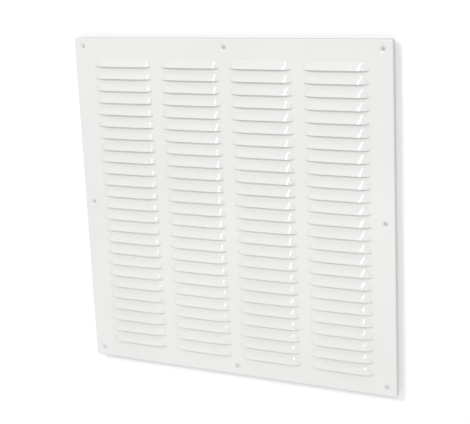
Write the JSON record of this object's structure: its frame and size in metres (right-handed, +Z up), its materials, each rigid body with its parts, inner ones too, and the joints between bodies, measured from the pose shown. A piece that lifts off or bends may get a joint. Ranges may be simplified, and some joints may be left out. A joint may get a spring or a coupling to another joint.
{
  "type": "ventilation grille",
  "caption": "Square wall ventilation grille pressed from one white painted steel sheet, with columns of hooded louvres, dimpled screw holes and a turned back rim.",
  "frame": {"origin": "centre of the four corner screw holes, in the plane of the backs of the screw seats", "axes": "+Z up the wall, +X to the right as a viewer faces the grille, +Y into the wall, so the louvred front faces -Y"},
  "size_m": [0.35, 0.0093, 0.35],
  "materials": {
    "white_paint": "gloss white baked powder coat on steel sheet"
  },
  "bodies": {
    "root": {"louvre_plate": "white_paint"}
  },
  "joints": []
}
